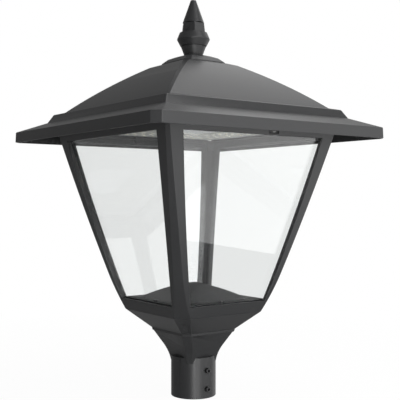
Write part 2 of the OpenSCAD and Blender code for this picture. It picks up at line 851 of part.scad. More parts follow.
// Released, the hook's beak lies level beside the spindle; turned back it closes over the peg
hook_rest = 75;
module latch_hook() {
    color("#b9bbbe")
        translate([latch_x, hook_y + hook_t / 2, latch_z])
            rotate([90, 0, 0])
                linear_extrude(hook_t)
                    rotate([0, 0, hook_rest])
                        difference() {
                            union() {
                                circle(d = 9.6);
                                polygon(concat(ring_points(hook_inner, 100, 45, 10),
                                    ring_points(hook_reach, 45, 100, 10)));
                                polygon([[-4.6, 0], [2, 2], [hook_inner * cos(84), hook_inner + 1],
                                    [hook_reach * cos(100), hook_reach * sin(100)]]);
                            }
                            circle(d = latch_d + 2 * run_gap);
                        }
}
module latch_nut() {
    color("#b9bbbe")
        latch_axis(hook_y + hook_t / 2 + 4)
            difference() {
                cylinder(d = 10, h = 3.9, $fn = 6);
                translate([0, 0, -1])
                    cylinder(d = latch_d + 2 * run_gap, h = 6);
            }
}

module stud_hole(z0, z1) {
    translate([0, 0, z0])
        cylinder(d = stud_d + 2 * free_gap, h = z1 - z0);
}
module roof_shell() {
    color("#3e3f41")
        difference() {
            square_loft(roof_rows());
            difference() {
                square_loft(roof_inner_rows);
                difference() {
                    square_block(rib_half, z_rib, z_dome + 2 * over, 4);
                    square_block(rib_half - rib_t, z_rib - 1, z_dome + 3 * over, 3);
                }
                four_corners(plate_screw_at)
                    translate([0, 0, z_gear])
                        cylinder(d = boss_d, h = dome_h);
            }
            stud_hole(z_crown - 4 * roof_wall, z_crown + 1);
            four_corners(plate_screw_at)
                translate([0, 0, z_gear - 1])
                    cylinder(d = m5 + 2 * run_gap, h = 16);
            for (side = [-1, 1], x = [-1, 1])
                translate([side * hinge_x + x * 10, rib_half, arm_screw_z])
                    rotate([90, 0, 0])
                        cylinder(d = m4 + 2 * run_gap, h = 2 * rib_t - 2, center = true);
            for (x = [-1, 1])
                translate([strike_x + x * 8, -rib_half + rib_t, strike_screw_z])
                    rotate([90, 0, 0])
                        cylinder(d = m3 + 2 * run_gap, h = 8, center = true);
        }
}
module roof_cap() {
    half = cap_w / 2;
    color("#3e3f41")
        difference() {
            square_loft([[half, z_crown, cap_corner], [half - 0.6, z_crown + 2, cap_corner],
                [0.8 * half, z_crown + 0.58 * cap_h, cap_corner - 1],
                [0.57 * half, z_crown + 0.84 * cap_h, 6], [stem_d / 2 + 0.8, z_cap, 5]]);
            stud_hole(z_crown - 1, z_cap + 1);
        }
}
groove_h = 1.8;
groove_depth = 3.4;
hex_bevel = 2;
z_knob = z_cap + stem_h + groove_h;
z_hex = z_knob + knob_h;
z_spire = z_hex + hex_h;
module finial() {
    girth = z_knob + 0.5 * knob_h;
    knob = [[groove_d / 2 + groove_depth, z_knob], [knob_d / 2, girth - 0.8], [knob_d / 2, girth + 0.8],
        [hex_w / 2 + 1.9, z_hex]];
    color("#3a3b3d")
        difference() {
            union() {
                translate([0, 0, z_cap])
                    cylinder(d1 = stem_d, d2 = groove_d + 4, h = stem_h);
                translate([0, 0, z_cap + stem_h - 1])
                    cylinder(d = groove_d, h = groove_h + 2);
                rotate_extrude()
                    polygon(concat([[0, z_knob]], knob, [[0, z_hex]]));
                translate([0, 0, z_hex - 0.5])
                    cylinder(d1 = hex_w, d2 = hex_top_w, h = hex_h + 0.5 - hex_bevel, $fn = 6);
                translate([0, 0, z_spire - hex_bevel])
                    cylinder(d1 = hex_top_w, d2 = hex_top_w - 2 * hex_bevel, h = hex_bevel, $fn = 6);
                translate([0, 0, z_spire - 0.5])
                    cylinder(d1 = spire_d, d2 = spire_tip_d, h = spire_h);
            }
            translate([0, 0, z_cap - 1])
                cylinder(d = stud_d + 2 * run_gap, h = 31);
        }
}
module finial_stud() {
    color("#9a9c9f")
        translate([0, 0, z_crown - 22])
            cylinder(d = stud_d, h = 22 + cap_h + 28);
}
module finial_nut() {
    color("#9a9c9f")
        translate([0, 0, z_crown - wall_step - 10])
            difference() {
                union() {
                    cylinder(d = 1.9 * stud_d, h = 8, $fn = 6);
                    translate([0, 0, 8])
                        cylinder(d = 3 * stud_d, h = 2);
                }
                translate([0, 0, -1])
                    cylinder(d = stud_d + 2 * run_gap, h = 12);
            }
}

module latch_strike() {
    peg_x = latch_x + peg_at * cos(peg_angle);
    peg_z = latch_z + peg_at * sin(peg_angle);
    plate_back = -rib_half + rib_t;
    color("#b9bbbe")
        difference() {
            union() {
                translate([strike_x - 12, plate_back, peg_z - 2.5])
                    cube([24, strike_t, z_rib + 18 - peg_z + 2.5]);
                translate([peg_x, plate_back + 1, peg_z])
                    rotate([-90, 0, 0])
                        cylinder(d = peg_d, h = hook_y + hook_t / 2 + 1.5 - plate_back - 1);
            }
            for (x = [-1, 1])
                translate([strike_x + x * 8, plate_back, strike_screw_z])
                    rotate([90, 0, 0])
                        cylinder(d = m3 + 2 * run_gap, h = 10, center = true);
        }
}
module strike_screws() {
    color("#9a9c9f")
        for (x = [-1, 1])
            translate([strike_x + x * 8, -rib_half + rib_t + strike_t, strike_screw_z])
                rotate([90, 0, 0])
                    pan_screw_up(m3, 5.5);
}

z_board = z_plate - board_t;
board_screw_at = board_half - 8;
flange_len = 12;
flange_t = 4;
driver_screw_at = (driver_len - flange_len) / 2;
surge = [60, 34, 28];
surge_y = driver_w / 2 + 14;
terminal = [72, 22, 20];
terminal_y = -driver_w / 2 - 16 - terminal[1];
ways = 5;
way_pitch = 14;
cable_hole_d = 16;
cable_hole_y = surge_y + surge[1] + cable_hole_d / 2 + 4;
module gear_plate() {
    color("#b4b7ba")
        difference() {
            square_block(plate_half, z_plate, z_gear, 10);
            four_corners(plate_screw_at)
                translate([0, 0, z_plate - 1])
                    cylinder(d = m5 + 2 * free_gap, h = plate_t + 2);
            four_corners(board_screw_at)
                translate([0, 0, z_plate - 1])
                    cylinder(d = m3 + 2 * run_gap, h = plate_t + 2);
            for (x = [-1, 1])
                translate([x * driver_screw_at, 0, z_plate - 1])
                    cylinder(d = m4 + 2 * run_gap, h = plate_t + 2);
            translate([0, cable_hole_y, z_plate - 1])
                cylinder(d = cable_hole_d, h = plate_t + 2);
        }
}
module gear_plate_screws() {
    color("#9a9c9f")
        four_corners(plate_screw_at)
            translate([0, 0, z_plate])
                pan_screw_up(m5, 14);
}
module led_board() {
    color("#e9e9e4")
        translate([0, 0, z_board])
            linear_extrude(board_t)
                difference() {
                    rounded_square(board_half, 16);
                    rounded_square(row_first - row_pitch, 12);
                    for (x = [-1, 1], y = [-1, 1])
                        translate([x * board_screw_at, y * board_screw_at])
                            circle(d = m3 + 2 * free_gap);
                }
}
module board_screws() {
    color("#9a9c9f")
        four_corners(board_screw_at)
            translate([0, 0, z_board])
                pan_screw_up(m3, board_t + plate_t - 0.5);
}
// Point and heading at share t of the way round a rounded square of half width q
function track(q, r, t) = let(straight = 2 * (q - r), arc = PI * r / 2, quarter = straight + arc,
    k = floor(4 * t), u = (4 * t - k) * quarter, a = (u - straight) / r * 180 / PI)
    u < straight ? [q, u - straight / 2, 0, 90 * k]
    : [q - r + r * cos(a), q - r + r * sin(a), a, 90 * k];
module led_chips() {
    color("#e7dca0")
        for (row = [0 : row_count - 1])
            let(q = row_first + row * row_pitch, r = 26, length = 8 * (q - r) + 2 * PI * r,
                n = 4 * round(length / chip_pitch / 4))
                for (i = [0 : n - 1])
                    let(p = track(q, r, (i + 0.5) / n))
                        rotate([0, 0, p[3]])
                            translate([p[0], p[1], z_board - 1])
                                rotate([0, 0, p[2]])
                                    translate([-chip_side / 2, -chip_side / 2, 0])
                                        cube([chip_side, chip_side, 1]);
}
module driver() {
    color("#c9ccd0")
        translate([0, 0, z_gear])
            difference() {
                union() {
                    translate([-driver_len / 2 + flange_len, -driver_w / 2, 0])
                        cube([driver_len - 2 * flange_len, driver_w, driver_h]);
                    translate([-driver_len / 2, -driver_w / 2, 0])
                        cube([driver_len, driver_w, flange_t]);
                }
                for (x = [-1, 1])
                    translate([x * driver_screw_at, 0, -1])
                        cylinder(d = m4 + 2 * free_gap, h = flange_t + 2);
            }
}
module driver_screws() {
    color("#9a9c9f")
        for (x = [-1, 1])
            translate([x * driver_screw_at, 0, z_gear + flange_t])
                pan_screw_down(m4, flange_t + plate_t - 0.5);
}
module surge_protector() {
    color("#2f6fa8")
        translate([-surge[0] / 2, surge_y, z_gear])
            cube(surge);
}
module terminal_block() {
    color("#e8e6df")
        translate([-terminal[0] / 2, terminal_y, z_gear])
            difference() {
                cube(terminal);
                for (i = [0 : ways - 1])
                    translate([(terminal[0] + (2 * i - ways + 1) * way_pitch) / 2, 0, 0.7 * terminal[2]])
                        rotate([90, 0, 0])
                            cylinder(d = 6, h = 3 * terminal[1], center = true);
            }
}

pole_fitter();
set_screw_front_low();
set_screw_front_high();
set_screw_back_low();
set_screw_back_high();
lantern_frame();
frame_bolts();
pane_front();
pane_right();
pane_back();
pane_left();
pane_gaskets();
pane_clamps();
clamp_screws();
floor_cover();
floor_cover_screws();
cable_gland();
gland_nut();
roof_gasket();
lanyard_anchor();
lanyard_screw();
hinge_brackets();
hinge_bracket_screws();
hinge_pins();
latch_bush();
latch_spindle();
latch_hook();
latch_nut();
roof_shell();
roof_cap();
finial();
finial_stud();
finial_nut();
roof_hinge_arms();
hinge_arm_screws();
latch_strike();
strike_screws();
gear_plate();
gear_plate_screws();
led_board();
led_chips();
board_screws();
driver();
driver_screws();
surge_protector();
terminal_block();
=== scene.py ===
import json
import math
from typing import NamedTuple

import bmesh
import bpy
from mathutils import Matrix, Vector


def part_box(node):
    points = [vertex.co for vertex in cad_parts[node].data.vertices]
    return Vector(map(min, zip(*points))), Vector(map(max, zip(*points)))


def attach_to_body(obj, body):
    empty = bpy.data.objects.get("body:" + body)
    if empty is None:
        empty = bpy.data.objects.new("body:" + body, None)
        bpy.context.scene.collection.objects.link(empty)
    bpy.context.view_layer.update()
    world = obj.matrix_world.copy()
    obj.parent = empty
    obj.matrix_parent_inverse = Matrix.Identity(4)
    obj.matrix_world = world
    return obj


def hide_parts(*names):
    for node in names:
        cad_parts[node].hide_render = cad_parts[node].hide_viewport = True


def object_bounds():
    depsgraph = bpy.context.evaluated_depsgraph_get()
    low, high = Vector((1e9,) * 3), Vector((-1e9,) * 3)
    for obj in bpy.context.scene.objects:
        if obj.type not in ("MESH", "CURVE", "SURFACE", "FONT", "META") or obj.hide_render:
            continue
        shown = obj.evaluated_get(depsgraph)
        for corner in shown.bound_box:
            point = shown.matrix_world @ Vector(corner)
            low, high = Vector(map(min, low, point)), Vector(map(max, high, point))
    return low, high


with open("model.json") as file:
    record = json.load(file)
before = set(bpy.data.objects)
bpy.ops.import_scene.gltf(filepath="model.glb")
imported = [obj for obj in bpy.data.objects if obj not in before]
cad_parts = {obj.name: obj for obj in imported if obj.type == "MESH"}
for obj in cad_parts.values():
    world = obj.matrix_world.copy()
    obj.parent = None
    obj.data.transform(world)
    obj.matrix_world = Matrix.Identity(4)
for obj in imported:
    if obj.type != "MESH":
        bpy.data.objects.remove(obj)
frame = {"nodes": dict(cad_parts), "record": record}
CAD_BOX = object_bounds()

bl_info = {
    "name": "Post-top Lantern Dressing",
    "version": (1, 0, 0),
    "blender": (4, 5, 0),
    "location": "3D View > Sidebar > Lantern",
    "description": "Dresses the solids of a post-top lantern with finishes, edges, light sources and a stage",
    "category": "Object",
}

MM = 0.001
WHITE = (1.0, 1.0, 1.0, 1.0)
BODY_OF = {node: body for body, nodes in frame["record"]["behaviour"]["bodies"].items() for node in nodes}

# Corners of a CAD node's loose triangles that are closer than this are one corner
MERGE_DISTANCE = 0.002 * MM

# Share of a neighbouring edge that a rounding may take up, where that edge is rounded too or stays sharp
ROUNDED_ROOM = 0.45
SHARP_ROOM = 0.8

# Keeps the room test finite where two edges run on in one line
LEAST_SINE = 0.001

# Depths in a light source, from the board, as shares of its thickness
CASE_DEPTH = 0.55
FILL_TOP = 0.02
FILL_DEPTH = 0.7
LENS_TOP = 0.78
LENS_DEPTH = 0.2

# Widths in a light source, as shares of its side
RIM_WIDTH = 0.08
FILL_RADIUS = 0.36
LENS_RADIUS = 0.42

# Faces round a light source's fill and lens, and from pole to pole of the ball that a lens is cut from
ROUND_FACES = 12
LENS_RINGS = 8

# Angle up to which a lens is shaded smooth
LENS_CREASE = math.radians(40)

FILM_WIDTH_MM = 36.0
FLOOR_HALF_WIDTH = 12.0

# Depth of the floor under the lantern's foot
FLOOR_DROP = 0.5 * MM


class Lamp(NamedTuple):
    """A rectangular softbox that looks at a point on the lantern's axis, or beside it by its shift.

    The bearing is in degrees to the right of the camera, the rise is a slope, and the rest is in metres.
    """

    name: str
    bearing: float
    rise: float
    distance: float
    aim_height: float
    size: tuple
    shift: float = 0.0


# The key softbox's lower edge shows as a slanting line in the pane that mirrors it
LAMPS = (
    Lamp("key_softbox", bearing=56, rise=0.0, distance=1.2, aim_height=0.675, size=(1.25, 1.9), shift=0.25),
    Lamp("narrow_strip", bearing=3, rise=0.0, distance=2.4, aim_height=0.3, size=(0.07, 2.2)),
    Lamp("front_fill", bearing=22, rise=0.0, distance=1.2, aim_height=0.1, size=(0.55, 1.6)),
    Lamp("side_fill", bearing=128, rise=0.0, distance=1.2, aim_height=0.1, size=(1.1, 1.4)),
    Lamp("top_softbox", bearing=80, rise=3.08, distance=1.6, aim_height=0.6, size=(0.8, 0.8)),
    Lamp("back_softbox", bearing=145, rise=1.0, distance=1.6, aim_height=0.6, size=(1.4, 1.1)),
    Lamp("high_fill", bearing=40, rise=0.58, distance=1.6, aim_height=0.6, size=(0.8, 0.8)),
)


class Wire:
    """A shader socket that adds Math nodes when it is used in an expression."""

    def __init__(self, shader, socket):
        self.shader = shader
        self.socket = socket

    def math(self, operation, left, right=0.0):
        return self.shader.node("ShaderNodeMath", {"operation": operation}, {0: left, 1: right})

    def __add__(self, other):
        return self.math("ADD", self, other)

    __radd__ = __add__

    def __mul__(self, other):
        return self.math("MULTIPLY", self, other)

    __rmul__ = __mul__

    def __sub__(self, other):
        return self.math("SUBTRACT", self, other)

    def __rsub__(self, other):
        return self.math("SUBTRACT", other, self)

    def __truediv__(self, other):
        return self.math("DIVIDE", self, other)

    def __gt__(self, other):
        return self.math("GREATER_THAN", self, other)

    def __lt__(self, other):
        return self.math("LESS_THAN", self, other)

    def __abs__(self):
        return self.math("ABSOLUTE", self)

    def __mod__(self, other):
        return self.math("FLOORED_MODULO", self, other)

    def larger(self, other):
        return self.math("MAXIMUM", self, other)

    def smaller(self, other):
        return self.math("MINIMUM", self, other)


class Shader:
    """A material or world whose nodes are added by one method."""

    def __init__(self, owner, output_kind="ShaderNodeOutputMaterial"):
        owner.use_nodes = True
        self.owner = owner
        self.tree = owner.node_tree
        self.tree.nodes.clear()
        self.output = self.tree.nodes.new(output_kind)

    def node(self, kind, settings=None, values=None, out=0):
        """Adds a node, its settings before its sockets, and gives its output, or those that out lists."""
        made = self.tree.nodes.new(kind)
        for key, value in (settings or {}).items():
            setattr(made, key, value)
        for key, value in (values or {}).items():
            if isinstance(value, Wire):
                self.tree.links.new(value.socket, made.inputs[key])
            else:
                made.inputs[key].default_value = value
        if isinstance(out, tuple):
            return [Wire(self, made.outputs[key]) for key in out]
        return Wire(self, made.outputs[out])

    def finish(self, surface):
        """Shows a shader on the surface and gives the material or world."""
        self.tree.links.new(surface.socket, self.output.inputs["Surface"])
        return self.owner

    def principled(self, values):
        return self.node("ShaderNodeBsdfPrincipled", None, values, "BSDF")

    def mix(self, factor, first, second):
        """A shader between two shaders."""
        return self.node("ShaderNodeMixShader", None, {0: factor, 1: first, 2: second})

    def blend(self, factor, first, second):
        """A colour between two colours."""
        return self.node("ShaderNodeMix", {"data_type": "RGBA"}, {0: factor, 6: first, 7: second}, 2)

    def place(self):
        return self.node("ShaderNodeTexCoord", out="Object")

    def axes(self):
        return self.node("ShaderNodeSeparateXYZ", None, {"Vector": self.place()}, ("X", "Y", "Z"))

    def noise(self, scale, detail, place=None):
        """Smooth noise from 0 to 1, with about so many patches to the metre."""
        values = {"Scale": scale, "Detail": detail, "Vector": place or self.place()}
        return self.node("ShaderNodeTexNoise", None, values, "Fac")

    def bump(self, height, distance):
        return self.node("ShaderNodeBump", None, {"Height": height, "Distance": distance, "Strength": 1.0})


def new_shader(name):
    return Shader(bpy.data.materials.new(name))


def shade(color, factor=1.0):
    """A plain colour made lighter or darker, with full alpha."""
    return tuple(min(1.0, channel * factor) for channel in color[:3]) + (1.0,)


def powder_coat(name, color, roughness, grain):
    """Satin powder coat: faint cloudiness, a fine pebbled skin and slightly uneven gloss."""
    dark, light, fleck = shade(color, 0.86), shade(color, 1.16), shade(color, 1.6)
    fleck_share = 0.25
    cloud_spread, speck_spread, mean_spread = 0.06, 0.05, 0.05
    speck_height, pebble_height = 1.5, 0.05 * MM
    shader = new_shader(name)
    cloud = shader.noise(scale=7.0, detail=3.0)
    pebble = shader.noise(scale=1500.0, detail=1.0)
    speck = shader.noise(scale=420.0, detail=2.0)
    return shader.finish(shader.principled({
        "Base Color": shader.blend(speck * fleck_share, shader.blend(cloud, dark, light), fleck),
        "Roughness": roughness - mean_spread + cloud * cloud_spread + speck * speck_spread,
        "Specular IOR Level": 0.35,
        "Normal": shader.bump(pebble + speck * speck_height, pebble_height * grain),
    }))


def clear_sheet(name, tint, haze):
    """Clear sheet that bends light and lets the lamps through."""
    passed = 0.97
    shader = new_shader(name)
    smear = shader.noise(scale=9.0, detail=4.0)
    body = shader.principled({
        "Base Color": shade(tint),
        "Roughness": smear * haze,
        "IOR": 1.49,
        "Specular IOR Level": 0.2,
        "Transmission Weight": 1.0,
    })
    clear = shader.node("ShaderNodeBsdfTransparent", None, {"Color": shade(tint, passed)})
    shadow = shader.node("ShaderNodeLightPath", out="Is Shadow Ray")
    return shader.finish(shader.mix(shadow, body, clear))


def moulded(name, color, roughness, grain):
    """Moulded rubber or plastic with a dull, slightly grained skin."""
    dark, light = shade(color, 0.85), shade(color, 1.2)
    patch_spread, skin_height = 0.12, 0.04 * MM
    shader = new_shader(name)
    skin = shader.noise(scale=900.0, detail=2.0)
    patch = shader.noise(scale=25.0, detail=3.0)
    return shader.finish(shader.principled({
        "Base Color": shader.blend(patch, dark, light),
        "Roughness": roughness - patch_spread / 2 + patch * patch_spread,
        "Normal": shader.bump(skin, skin_height * grain),
    }))


def bare_metal(name, color, roughness, along):
    """Turned, drawn or rolled metal with fine lines that run along one axis."""
    dark, light = shade(color, 0.82), shade(color, 1.12)
    scale_along, scale_across = 30.0, 900.0
    line_spread, patch_spread, mean_spread = 0.1, 0.06, 0.08
    line_height = 0.015 * MM
    shader = new_shader(name)
    stretch = [scale_along if axis == along else scale_across for axis in "XYZ"]
    stretched = shader.node("ShaderNodeMapping", None, {"Vector": shader.place(), "Scale": stretch})
    lines = shader.noise(scale=1.0, detail=3.0, place=stretched)
    patch = shader.noise(scale=40.0, detail=3.0)
    return shader.finish(shader.principled({
        "Base Color": shader.blend(lines, dark, light),
        "Metallic": 1.0,
        "Roughness": roughness - mean_spread + lines * line_spread + patch * patch_spread,
        "Normal": shader.bump(lines, line_height),
    }))


def solder_mask(name, color, rows, pitch):
    """Circuit board skin with copper pours that show as square rings under each row; the colour it is given
    is a mid grey that paints the shade under the roof onto a pale mask.
    """
    dark, light, copper = shade(color, 0.94), shade(color, 1.04), (0.42, 0.43, 0.42, 1.0)
    pour_half_width, pour_height = 5.5 * MM, 0.04 * MM
    gap_spacing, gap_half_width = 10.0 * MM, 0.5 * MM
    pour_tone, gap_tone = 0.16, 0.55
    roughness, cloud_spread = 0.42, 0.08
    inner, outer = rows[0] - pitch / 2, rows[-1] + pitch / 2
    shader = new_shader(name)
    x, y, _ = shader.axes()
    ring = abs(x).larger(abs(y))
    off_row = abs((ring - inner) % pitch - pitch / 2)
    pour = (off_row < pour_half_width) * (ring > inner) * (ring < outer)
    gap = (abs((x + y) % gap_spacing - gap_spacing / 2) < gap_half_width) * pour
    cloud = shader.noise(scale=30.0, detail=3.0)
    tone = shader.blend(cloud, dark, light)
    return shader.finish(shader.principled({
        "Base Color": shader.blend(gap * gap_tone + pour * pour_tone, tone, copper),
        "Roughness": roughness + cloud * cloud_spread,
        "Normal": shader.bump(pour, pour_height),
    }))


def phosphor(name, color, glow):
    """Yellow phosphor fill of a light source, with a faint painted glow from its emission."""
    shader = new_shader(name)
    tone = shader.blend(shader.noise(scale=2500.0, detail=2.0), shade(color, 0.8), shade(color, 1.1))
    return shader.finish(shader.principled({
        "Base Color": tone,
        "Roughness": 0.45,
        "Emission Color": tone,
        "Emission Strength": glow,
    }))


def color_setting(default, name, description):
    return bpy.props.FloatVectorProperty(
        name=name, description=description, default=default, size=3, min=0.0, max=1.0, subtype="COLOR"
    )


def length_setting(default, name, description):
    return bpy.props.FloatProperty(
        name=name, description=description, default=default, min=0.0, unit="LENGTH", subtype="DISTANCE"
    )


def power_setting(default, name, description):
    return bpy.props.FloatProperty(name=name, description=description, default=default, min=0.0, unit="POWER")


def share_setting(default, name, description):
    return bpy.props.FloatProperty(
        name=name, description=description, default=default, min=0.0, max=1.0, subtype="FACTOR"
    )


class LanternCastingSettings(bpy.types.PropertyGroup):
    coat: color_setting((0.0165, 0.0168, 0.0175), "Powder coat", "Colour of the castings")
    roughness: share_setting(0.34, "Roughness", "Roughness of the powder coat")
    cover_coat: color_setting((0.015, 0.0153, 0.016), "Cover coat", "Colour of the pressed floor cover")
    cover_roughness: share_setting(0.38, "Cover roughness", "Roughness of the floor cover's coat")
    edge: length_setting(0.9 * MM, "Edge radius", "Radius left on the castings' edges")
    fine_edge: length_setting(0.4 * MM, "Small edge radius", "Radius left on small fittings")


class LanternPaneSettings(bpy.types.PropertyGroup):
    tint: color_setting((0.955, 0.965, 0.962), "Tint", "Colour of the clear panes")
    haze: share_setting(0.035, "Haze", "Roughness of the most smeared spots")
    arris: length_setting(0.35 * MM, "Arris", "Polished edge break of a pane")


class LanternGearSettings(bpy.types.PropertyGroup):
    rubber: color_setting((0.018, 0.018, 0.019), "Rubber", "Colour of the seals")
    nylon: color_setting((0.02, 0.02, 0.021), "Nylon", "Colour of the cable gland and the latch's bush")
    terminal: color_setting((0.72, 0.69, 0.6), "Terminals", "Colour of the terminal block")
    protector: color_setting((0.02, 0.1, 0.32), "Surge protector", "Colour of the surge protector's case")
    plate: color_setting((0.78, 0.79, 0.8), "Gear plate", "Colour of the rolled gear plate")
    driver: color_setting((0.7, 0.71, 0.73), "Driver", "Colour of the driver's drawn case")


class LanternFastenerSettings(bpy.types.PropertyGroup):
    stainless: color_setting((0.6, 0.6, 0.59), "Stainless steel", "Colour of the bare fasteners")
    blackened: color_setting((0.06, 0.06, 0.062), "Blackened steel", "Colour of the black screws")


class LanternBoardSettings(bpy.types.PropertyGroup):
    # A pale mask given as a mid grey: painted shade for the board's place under the roof
    mask: color_setting((0.3, 0.3, 0.275), "Solder mask", "Colour of the circuit board")
    fill: color_setting((0.85, 0.66, 0.16), "Phosphor", "Colour of the light sources' fill")
    package: color_setting((0.8, 0.8, 0.78), "Package", "Colour of the light sources' cases")
    resin: color_setting((0.98, 0.98, 0.95), "Resin", "Colour of the light sources' lenses")
    resin_haze: share_setting(0.02, "Resin haze", "Roughness of the lenses' most smeared spots")
    # The glow is a faint painted glow that brings out the yellow fill
    glow: share_setting(0.15, "Glow", "How strongly the light sources shine")
    rows: bpy.props.IntProperty(name="Rows", description="Rows of light sources", default=3, min=1)
    row_edge: length_setting(20 * MM, "Row margin", "Distance of the outermost row from the board's edge")
    row_pitch: length_setting(25 * MM, "Row pitch", "Distance between rows")
    bend: length_setting(26 * MM, "Corner radius", "Radius of a row at its corners")
    spacing: length_setting(20 * MM, "Spacing", "Spacing of the light sources along a row")
    side: length_setting(5 * MM, "Side", "Side of a light source")


class LanternStageSettings(bpy.types.PropertyGroup):
    distance: length_setting(1.547, "Distance", "Distance of the camera from the lantern's axis")
    height: length_setting(0.383, "Height", "Height of the camera")
    azimuth: bpy.props.FloatProperty(
        name="Azimuth", description="Bearing of the camera", default=math.radians(-36.08), subtype="ANGLE"
    )
    lens: bpy.props.FloatProperty(name="Lens", description="Focal length", default=70.506, unit="CAMERA")
    shift: bpy.props.FloatProperty(name="Shift", description="Sideways lens shift", default=0.0165)
    key_softbox: power_setting(13.0, "Key", "Power of the large softbox on the right")
    narrow_strip: power_setting(29.0, "Strip", "Power of the narrow strip beside the camera")
    front_fill: power_setting(10.0, "Front fill", "Power of the softbox beside the camera")
    side_fill: power_setting(3.4, "Side fill", "Power of the softbox behind the right side")
    top_softbox: power_setting(12.8, "Top", "Power of the overhead softbox")
    back_softbox: power_setting(5.4, "Back", "Power of the raised softbox behind the right side")
    high_fill: power_setting(3.0, "High fill", "Power of the raised softbox on the right")
    ambient: share_setting(0.2, "Ambient", "Strength of the even light from all round")
    mirrored: share_setting(0.1, "Reflected background", "Share of the white background in reflections")
    floor_glow: share_setting(0.965, "Floor glow", "Share of plain white in the floor at the lantern's foot")
    floor_reach: length_setting(1.2, "Floor reach", "Distance from the axis where the floor is plain white")
    floor_color: color_setting((0.86, 0.86, 0.86), "Floor", "Colour of the floor as the lantern sees it")


SETTINGS = {
    "lantern_castings": LanternCastingSettings,
    "lantern_panes": LanternPaneSettings,
    "lantern_gear": LanternGearSettings,
    "lantern_fasteners": LanternFastenerSettings,
    "lantern_board": LanternBoardSettings,
    "lantern_stage": LanternStageSettings,
}


def add_object(name, bm, material, smooth_angle=None):
    """A mesh object at the origin from a bmesh, shaded smooth up to an angle."""
    if smooth_angle is not None:
        for face in bm.faces:
            face.smooth = True
        for edge in bm.edges:
            edge.smooth = len(edge.link_faces) == 2 and edge.calc_face_angle(0.0) < smooth_angle
    mesh = bpy.data.meshes.new(name)
    bm.to_mesh(mesh)
    bm.free()
    mesh.materials.append(material)
    made = bpy.data.objects.new(name, mesh)
    bpy.context.scene.collection.objects.link(made)
    return made


def attach(piece, node):
    """Puts a piece on the body of a CAD node."""
    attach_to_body(piece, BODY_OF[node])


def merged_copy(node):
    """A CAD node's triangles, welded into closed solids."""
    bm = bmesh.new()
    bm.from_mesh(frame["nodes"][node].data)
    bmesh.ops.remove_doubles(bm, verts=bm.verts, dist=MERGE_DISTANCE)
    bmesh.ops.dissolve_degenerate(bm, edges=bm.edges, dist=MERGE_DISTANCE)
    return bm


def has_room(edge, corner, radius, rounded):
    """Whether an edge's rounding ends at a corner without running past the edges that meet it there."""
    along = edge.other_vert(corner).co - corner.co
    for face in edge.link_faces:
        for other in face.edges:
            if other is edge or corner not in other.verts:
                continue
            beside = other.other_vert(corner).co - corner.co
            slide = radius / max(math.sin(along.angle(beside, math.pi / 2)), LEAST_SINE)
            room = ROUNDED_ROOM if other in rounded else SHARP_ROOM
            if slide > room * beside.length:
                return False
    return True


def weigh_edges(bm, radius, hard):
    """Marks the outward edges sharper than an angle that have room for a rounding."""
    weight = bm.edges.layers.float.new("bevel_weight_edge")
    bm.normal_update()
    rounded = {
        edge for edge in bm.edges
        if edge.is_convex and edge.calc_face_angle(0.0) > hard and edge.calc_length() > 2 * radius
    }
    for edge in rounded:
        if all(has_room(edge, corner, radius, rounded) for corner in edge.verts):
            edge[weight] = 1.0


def softened(node, name, material, radius, segments=2, crease=9.0, hard=28.0):
    """A copy of a CAD node with its outward edges rounded, shown in the node's place.

    Edges turn sharp in the shading above the crease angle, and are rounded above the hard one, in degrees.
    """
    bm = merged_copy(node)
    weigh_edges(bm, radius, math.radians(hard))
    piece = add_object(name, bm, material, math.radians(crease))
    bevel = piece.modifiers.new("edge_radius", "BEVEL")
    bevel.width = radius
    bevel.segments = segments
    bevel.limit_method = "WEIGHT"
    bevel.use_clamp_overlap = False
    bevel.harden_normals = True
    bevel.miter_outer = "MITER_ARC"
    attach(piece, node)
    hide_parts(node)


def paint(nodes, material):
    """Gives CAD nodes a finish."""
    for node in nodes:
        mesh = frame["nodes"][node].data
        mesh.materials.clear()
        mesh.materials.append(material)


class LANTERN_OT_castings(bpy.types.Operator):
    """Coats the castings and rounds their edges"""

    bl_idname = "lantern.castings"
    bl_label = "Castings"

    def execute(self, context):
        look = context.scene.lantern_castings
        coat = powder_coat("graphite_powder_coat", look.coat, look.roughness, grain=1.0)
        cover = powder_coat("cover_powder_coat", look.cover_coat, look.cover_roughness, grain=1.3)
        for node in ("pole_fitter", "lantern_frame", "roof_shell", "roof_cap", "finial"):
            softened(node, node + "_casting", coat, look.edge)
        for node in ("pane_clamps", "hinge_brackets", "lanyard_anchor"):
            softened(node, node + "_fitting", coat, look.fine_edge)
        paint(("roof_hinge_arms",), coat)
        paint(("floor_cover",), cover)
        return {"FINISHED"}


class LANTERN_OT_panes(bpy.types.Operator):
    """Makes the panes clear and breaks their edges"""

    bl_idname = "lantern.panes"
    bl_label = "Panes"

    def execute(self, context):
        look = context.scene.lantern_panes
        clear = clear_sheet("clear_pane_sheet", look.tint, look.haze)
        for side in ("front", "right", "back", "left"):
            softened("pane_" + side, "clear_pane_" + side, clear, look.arris, segments=1)
        return {"FINISHED"}


SEAL_NODES = ("pane_gaskets", "roof_gasket")
NYLON_NODES = ("cable_gland", "gland_nut", "latch_bush")


class LANTERN_OT_seals(bpy.types.Operator):
    """Gives seals, gland and gear their moulded and bare finishes"""

    bl_idname = "lantern.seals"
    bl_label = "Seals and gear"

    def execute(self, context):
        look = context.scene.lantern_gear
        paint(SEAL_NODES, moulded("black_seal_rubber", look.rubber, roughness=0.72, grain=1.0))
        paint(NYLON_NODES, moulded("black_gland_nylon", look.nylon, roughness=0.5, grain=0.6))
        cream = moulded("cream_terminal_plastic", look.terminal, roughness=0.45, grain=0.5)
        paint(("terminal_block",), cream)
        blue = moulded("blue_protector_case", look.protector, roughness=0.35, grain=0.5)
        paint(("surge_protector",), blue)
        paint(("gear_plate",), bare_metal("rolled_gear_plate", look.plate, roughness=0.42, along="X"))
        paint(("driver",), bare_metal("drawn_driver_case", look.driver, roughness=0.38, along="X"))
        return {"FINISHED"}


